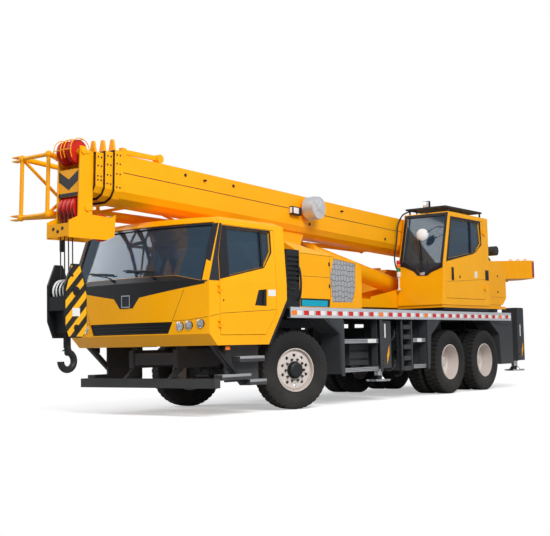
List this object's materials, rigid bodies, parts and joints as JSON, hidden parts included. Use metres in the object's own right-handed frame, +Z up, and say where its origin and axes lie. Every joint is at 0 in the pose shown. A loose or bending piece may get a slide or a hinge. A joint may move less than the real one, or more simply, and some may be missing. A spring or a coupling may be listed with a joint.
{
  "type": "mobile crane",
  "caption": "Truck crane with a driver's cab under a telescopic boom, turntable with operator's cab and lift cylinder, sliding outriggers with jacks, stowed lattice jib and hook block.",
  "frame": {"origin": "on the ground at the middle of the machine's length and width", "axes": "+X to the vehicle's left, +Y from nose to tail, +Z up"},
  "size_m": [2.6583, 11.8573, 3.5275],
  "materials": {
    "yellow_paint": "gloss",
    "black_paint": "satin",
    "grey_paint": "satin",
    "wheel_paint": "satin",
    "red_nylon": "satin",
    "seat_fabric": "matt",
    "step_alloy": "brushed",
    "engine_iron": "matt",
    "rod_chrome": "polished",
    "rope_steel": "greased",
    "tyre": "matt",
    "cab_tinted_glass": "clear"
  },
  "bodies": {
    "chassis": {"chassis_frame": "grey_paint", "deck": "yellow_paint", "axles_and_springs": "black_paint", "cab_shell": "yellow_paint", "cab_glass": "cab_tinted_glass", "cab_grille": "black_paint", "cab_interior": "seat_fabric", "front_bar": "grey_paint", "engine_hood": "yellow_paint", "engine_and_driveline": "engine_iron", "boom_rest": "yellow_paint", "intake_columns": "black_paint", "mudguards": "black_paint", "side_steps": "step_alloy", "side_tanks": "grey_paint", "tail_lamps": "black_paint"},
    "upper": {"turntable_frame": "yellow_paint", "operator_cab": "yellow_paint", "operator_glass": "cab_tinted_glass", "operator_seat": "seat_fabric", "sun_guard": "black_paint", "machinery_boxes": "yellow_paint", "counterweight": "yellow_paint", "winches": "black_paint"},
    "operator_door": {"operator_door": "yellow_paint"},
    "boom": {"boom_base": "yellow_paint", "boom_fittings": "grey_paint", "jib": "yellow_paint"},
    "section_2": {"boom_section_2": "yellow_paint"},
    "section_3": {"boom_section_3": "yellow_paint"},
    "section_4": {"boom_head": "yellow_paint", "head_sheaves": "red_nylon"},
    "hook": {"hook_block": "yellow_paint", "hoist_ropes": "rope_steel"},
    "lift_barrel": {"lift_barrel": "yellow_paint"},
    "lift_rod": {"lift_rod": "rod_chrome"},
    "door_left": {"cab_door_left": "yellow_paint"},
    "knuckle_left": {"knuckle_left": "black_paint"},
    "front_wheel_left": {"front_tyre_left": "tyre", "front_rim_left": "wheel_paint"},
    "axle2_wheels_left": {"axle2_tyres_left": "tyre", "axle2_rims_left": "wheel_paint"},
    "axle3_wheels_left": {"axle3_tyres_left": "tyre", "axle3_rims_left": "wheel_paint"},
    "outrigger_front_left": {"outrigger_front_left": "grey_paint"},
    "jack_front_left": {"jack_front_left": "rod_chrome"},
    "outrigger_rear_left": {"outrigger_rear_left": "grey_paint"},
    "jack_rear_left": {"jack_rear_left": "rod_chrome"},
    "door_right": {"cab_door_right": "yellow_paint"},
    "knuckle_right": {"knuckle_right": "black_paint"},
    "front_wheel_right": {"front_tyre_right": "tyre", "front_rim_right": "wheel_paint"},
    "axle2_wheels_right": {"axle2_tyres_right": "tyre", "axle2_rims_right": "wheel_paint"},
    "axle3_wheels_right": {"axle3_tyres_right": "tyre", "axle3_rims_right": "wheel_paint"},
    "outrigger_front_right": {"outrigger_front_right": "grey_paint"},
    "jack_front_right": {"jack_front_right": "rod_chrome"},
    "outrigger_rear_right": {"outrigger_rear_right": "grey_paint"},
    "jack_rear_right": {"jack_rear_right": "rod_chrome"}
  },
  "joints": [
    {"name": "door_left_hinge", "type": "hinge", "parent": "chassis", "child": "door_left", "pos_m": [1.266, -4.352, 1.5], "axis": [0, 0, -1], "range_deg": [0, 65]},
    {"name": "steer_left", "type": "hinge", "parent": "chassis", "child": "knuckle_left", "pos_m": [0.86, -2.496, 0.5425], "axis": [0, 0, 1], "range_deg": [-14, 56]},
    {"name": "front_wheel_left_spin", "type": "hinge", "parent": "knuckle_left", "child": "front_wheel_left", "pos_m": [1.02524, -2.55943, 0.5425], "axis": [0.9336, -0.3584, 0], "continuous": true},
    {"name": "axle2_left_spin", "type": "hinge", "parent": "chassis", "child": "axle2_wheels_left", "pos_m": [0.917, 1.864, 0.5425], "axis": [1, 0, 0], "continuous": true},
    {"name": "axle3_left_spin", "type": "hinge", "parent": "chassis", "child": "axle3_wheels_left", "pos_m": [0.917, 3.214, 0.5425], "axis": [1, 0, 0], "continuous": true},
    {"name": "outrigger_front_left_slide", "type": "slide", "parent": "chassis", "child": "outrigger_front_left", "axis": [1, 0, 0], "range_m": [0, 1.45]},
    {"name": "jack_front_left_slide", "type": "slide", "parent": "outrigger_front_left", "child": "jack_front_left", "axis": [0, 0, -1], "range_m": [0, 0.4]},
    {"name": "outrigger_rear_left_slide", "type": "slide", "parent": "chassis", "child": "outrigger_rear_left", "axis": [1, 0, 0], "range_m": [0, 1.45]},
    {"name": "jack_rear_left_slide", "type": "slide", "parent": "outrigger_rear_left", "child": "jack_rear_left", "axis": [0, 0, -1], "range_m": [0, 0.4]},
    {"name": "door_right_hinge", "type": "hinge", "parent": "chassis", "child": "door_right", "pos_m": [-1.266, -4.352, 1.5], "axis": [0, 0, 1], "range_deg": [0, 65]},
    {"name": "steer_right", "type": "hinge", "parent": "chassis", "child": "knuckle_right", "pos_m": [-0.86, -2.496, 0.5425], "axis": [0, 0, 1], "range_deg": [-14, 56]},
    {"name": "front_wheel_right_spin", "type": "hinge", "parent": "knuckle_right", "child": "front_wheel_right", "pos_m": [-1.02524, -2.43257, 0.5425], "axis": [0.9336, -0.3584, 0], "continuous": true},
    {"name": "axle2_right_spin", "type": "hinge", "parent": "chassis", "child": "axle2_wheels_right", "pos_m": [-0.917, 1.864, 0.5425], "axis": [1, 0, 0], "continuous": true},
    {"name": "axle3_right_spin", "type": "hinge", "parent": "chassis", "child": "axle3_wheels_right", "pos_m": [-0.917, 3.214, 0.5425], "axis": [1, 0, 0], "continuous": true},
    {"name": "outrigger_front_right_slide", "type": "slide", "parent": "chassis", "child": "outrigger_front_right", "axis": [-1, 0, 0], "range_m": [0, 1.45]},
    {"name": "jack_front_right_slide", "type": "slide", "parent": "outrigger_front_right", "child": "jack_front_right", "axis": [0, 0, -1], "range_m": [0, 0.4]},
    {"name": "outrigger_rear_right_slide", "type": "slide", "parent": "chassis", "child": "outrigger_rear_right", "axis": [-1, 0, 0], "range_m": [0, 1.45]},
    {"name": "jack_rear_right_slide", "type": "slide", "parent": "outrigger_rear_right", "child": "jack_rear_right", "axis": [0, 0, -1], "range_m": [0, 0.4]},
    {"name": "slew", "type": "hinge", "parent": "chassis", "child": "upper", "pos_m": [0, 2.504, 1.46], "axis": [0, 0, 1], "continuous": true},
    {"name": "operator_door_hinge", "type": "hinge", "parent": "upper", "child": "operator_door", "pos_m": [1.221, 3.31, 2.3], "axis": [0, 0, 1], "range_deg": [0, 75]},
    {"name": "luff", "type": "hinge", "parent": "upper", "child": "boom", "pos_m": [0, 4.254, 2.7], "axis": [-1, 0, 0], "range_deg": [0, 76]},
    {"name": "telescope_2", "type": "slide", "parent": "boom", "child": "section_2", "axis": [0, -0.9994, 0.0349], "range_m": [0, 6.5]},
    {"name": "telescope_3", "type": "slide", "parent": "section_2", "child": "section_3", "axis": [0, -0.9994, 0.0349], "range_m": [0, 6.5]},
    {"name": "telescope_4", "type": "slide", "parent": "section_3", "child": "section_4", "axis": [0, -0.9994, 0.0349], "range_m": [0, 6.5]},
    {"name": "hook_swing", "type": "hinge", "parent": "section_4", "child": "hook", "pos_m": [0, -5.59701, 2.61374], "axis": [-1, 0, 0], "range_deg": [-76, 0]},
    {"name": "lift_barrel_hinge", "type": "hinge", "parent": "upper", "child": "lift_barrel", "pos_m": [0, 2.504, 1.84], "axis": [-1, 0, 0], "range_deg": [0, 82.23]},
    {"name": "lift_rod_slide", "type": "slide", "parent": "lift_barrel", "child": "lift_rod", "axis": [0, -0.9859, 0.1676], "range_m": [0, 2.3427]}
  ],
  "couplings": [
    {"joint": "steer_right", "follows": "steer_left", "ratio": 1},
    {"joint": "telescope_3", "follows": "telescope_2", "ratio": 1},
    {"joint": "telescope_4", "follows": "telescope_2", "ratio": 1},
    {"joint": "hook_swing", "follows": "luff", "ratio": -1},
    {"joint": "lift_barrel_hinge", "follows": "luff", "ratio": 1.0818},
    {"joint": "lift_rod_slide", "follows": "luff", "m_per_rad": 1.7658}
  ]
}
